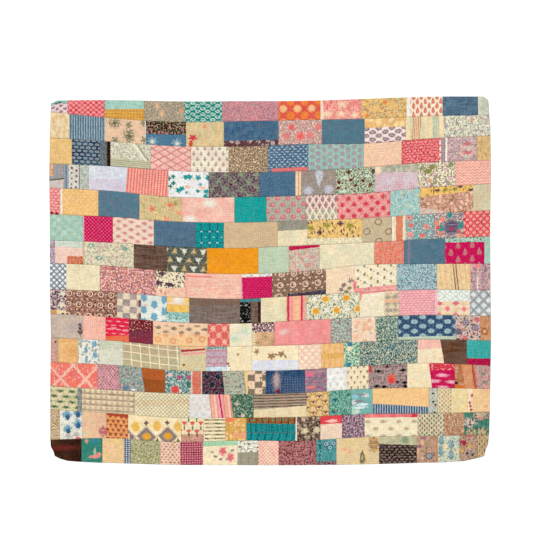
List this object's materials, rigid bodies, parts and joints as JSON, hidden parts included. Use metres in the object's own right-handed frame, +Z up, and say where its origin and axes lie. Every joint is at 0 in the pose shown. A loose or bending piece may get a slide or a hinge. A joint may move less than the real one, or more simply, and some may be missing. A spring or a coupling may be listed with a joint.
{
  "type": "bedspread",
  "caption": "Flat rectangular patchwork bedspread: sewn strips of mixed printed cotton patches, quilted with running stitch, with rounded corners and a turned hem.",
  "frame": {"origin": "under the middle of the laid-out cloth, on the surface it lies on", "axes": "+X along the strips of patches, +Y to the top edge of the picture, +Z up out of the face"},
  "size_m": [2.7464, 2.2928, 0.005],
  "materials": {
    "patchwork_cotton": "washed matte cotton in many printed, striped and plain patches, with rows of running stitch"
  },
  "bodies": {
    "root": {"bedspread": "patchwork_cotton"}
  },
  "joints": []
}
